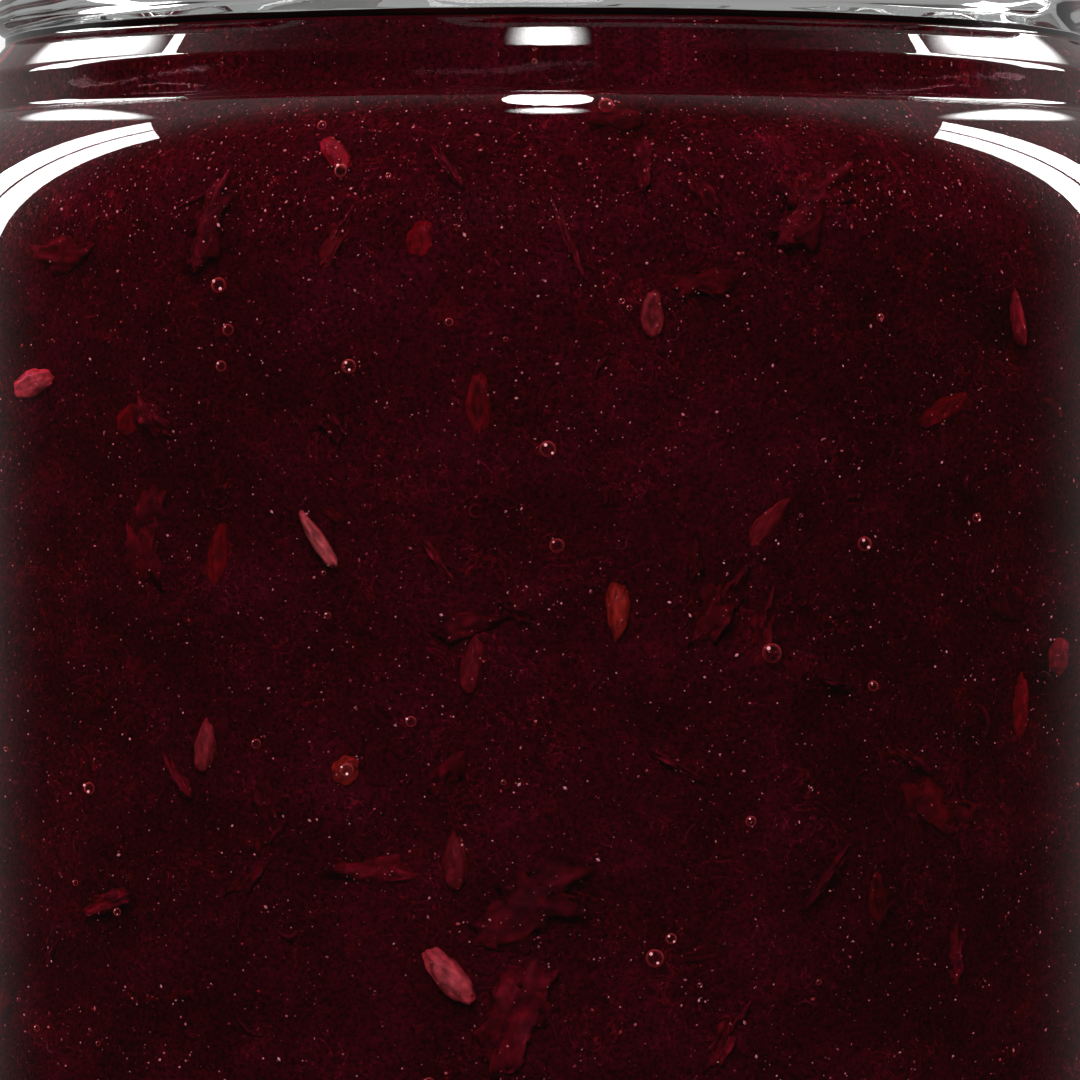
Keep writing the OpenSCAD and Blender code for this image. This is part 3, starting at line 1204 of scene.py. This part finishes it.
def make_camera():
    """A long lens at the height of the jam, level, close to the jar's upper half."""
    data = bpy.data.cameras.new("camera")
    data.lens = LENS
    data.sensor_width = SENSOR
    data.clip_start = 0.01
    camera = bpy.data.objects.new("camera", data)
    camera.location = CAMERA_PLACE
    camera.rotation_euler = (math.pi / 2, 0, 0)
    bpy.context.scene.collection.objects.link(camera)
    bpy.context.scene.camera = camera
    bpy.context.scene.view_settings.view_transform = "Standard"


# ---------------------------------------------------------------- the add-on


class JAMJAR_OT_glass(bpy.types.Operator):
    """Spins the clear glass jar with its thread"""

    bl_idname = "jam_jar.glass"
    bl_label = "Glass"
    bl_options = {"REGISTER", "UNDO"}

    def execute(self, context):
        make_glass()
        return {"FINISHED"}


class JAMJAR_OT_jelly(bpy.types.Operator):
    """Makes the clear jelly that fills the glass"""

    bl_idname = "jam_jar.jelly"
    bl_label = "Jelly"
    bl_options = {"REGISTER", "UNDO"}

    def execute(self, context):
        make_jelly()
        return {"FINISHED"}


class JAMJAR_OT_core(bpy.types.Operator):
    """Makes the dark, lumpy jam inside the jelly"""

    bl_idname = "jam_jar.core"
    bl_label = "Dark jam"
    bl_options = {"REGISTER", "UNDO"}

    def execute(self, context):
        make_core()
        return {"FINISHED"}


class JAMJAR_OT_seeds(bpy.types.Operator):
    """Lays seeds behind the glass"""

    bl_idname = "jam_jar.seeds"
    bl_label = "Seeds"
    bl_options = {"REGISTER", "UNDO"}

    def execute(self, context):
        make_seeds()
        return {"FINISHED"}


class JAMJAR_OT_scraps(bpy.types.Operator):
    """Lays scraps of skin and pulp"""

    bl_idname = "jam_jar.scraps"
    bl_label = "Pulp"
    bl_options = {"REGISTER", "UNDO"}

    def execute(self, context):
        make_scraps()
        return {"FINISHED"}


class JAMJAR_OT_fibres(bpy.types.Operator):
    """Draws the fine strands of fruit"""

    bl_idname = "jam_jar.fibres"
    bl_label = "Fibres"
    bl_options = {"REGISTER", "UNDO"}

    def execute(self, context):
        make_fibres()
        return {"FINISHED"}


class JAMJAR_OT_bubbles(bpy.types.Operator):
    """Adds air bubbles at the glass"""

    bl_idname = "jam_jar.bubbles"
    bl_label = "Bubbles"
    bl_options = {"REGISTER", "UNDO"}

    def execute(self, context):
        make_bubbles()
        return {"FINISHED"}


class JAMJAR_OT_specks(bpy.types.Operator):
    """Scatters the fine pale specks"""

    bl_idname = "jam_jar.specks"
    bl_label = "Specks"
    bl_options = {"REGISTER", "UNDO"}

    def execute(self, context):
        make_specks()
        return {"FINISHED"}


class JAMJAR_OT_stage(bpy.types.Operator):
    """Adds the floor, the lights and the camera"""

    bl_idname = "jam_jar.stage"
    bl_label = "Stage"
    bl_options = {"REGISTER", "UNDO"}

    def execute(self, context):
        make_stage()
        return {"FINISHED"}


OPERATORS = (
    JAMJAR_OT_glass,
    JAMJAR_OT_jelly,
    JAMJAR_OT_core,
    JAMJAR_OT_seeds,
    JAMJAR_OT_scraps,
    JAMJAR_OT_fibres,
    JAMJAR_OT_bubbles,
    JAMJAR_OT_specks,
    JAMJAR_OT_stage,
)


class JAMJAR_PT_panel(bpy.types.Panel):
    """Sizes, colours and the steps that make the jar"""

    bl_idname = "JAMJAR_PT_panel"
    bl_label = "Jam jar"
    bl_space_type = "VIEW_3D"
    bl_region_type = "UI"
    bl_category = "Jam jar"

    def draw(self, context):
        for group in (PROPERTIES, COLOURS):
            box = self.layout.box()
            values = getattr(context.scene, group)
            for name in type(values).__annotations__:
                box.prop(values, name)
        for o in OPERATORS:
            self.layout.operator(o.bl_idname)


CLASSES = (JamJarSizes, JamJarColours, *OPERATORS, JAMJAR_PT_panel)


def register():
    for c in CLASSES:
        bpy.utils.register_class(c)
    setattr(bpy.types.Scene, PROPERTIES, bpy.props.PointerProperty(type=JamJarSizes))
    setattr(bpy.types.Scene, COLOURS, bpy.props.PointerProperty(type=JamJarColours))


def unregister():
    delattr(bpy.types.Scene, COLOURS)
    delattr(bpy.types.Scene, PROPERTIES)
    for c in reversed(CLASSES):
        bpy.utils.unregister_class(c)


def main():
    register()
    for o in OPERATORS:
        group, name = o.bl_idname.split(".")
        getattr(getattr(bpy.ops, group), name)()


if __name__ == "__main__":
    main()
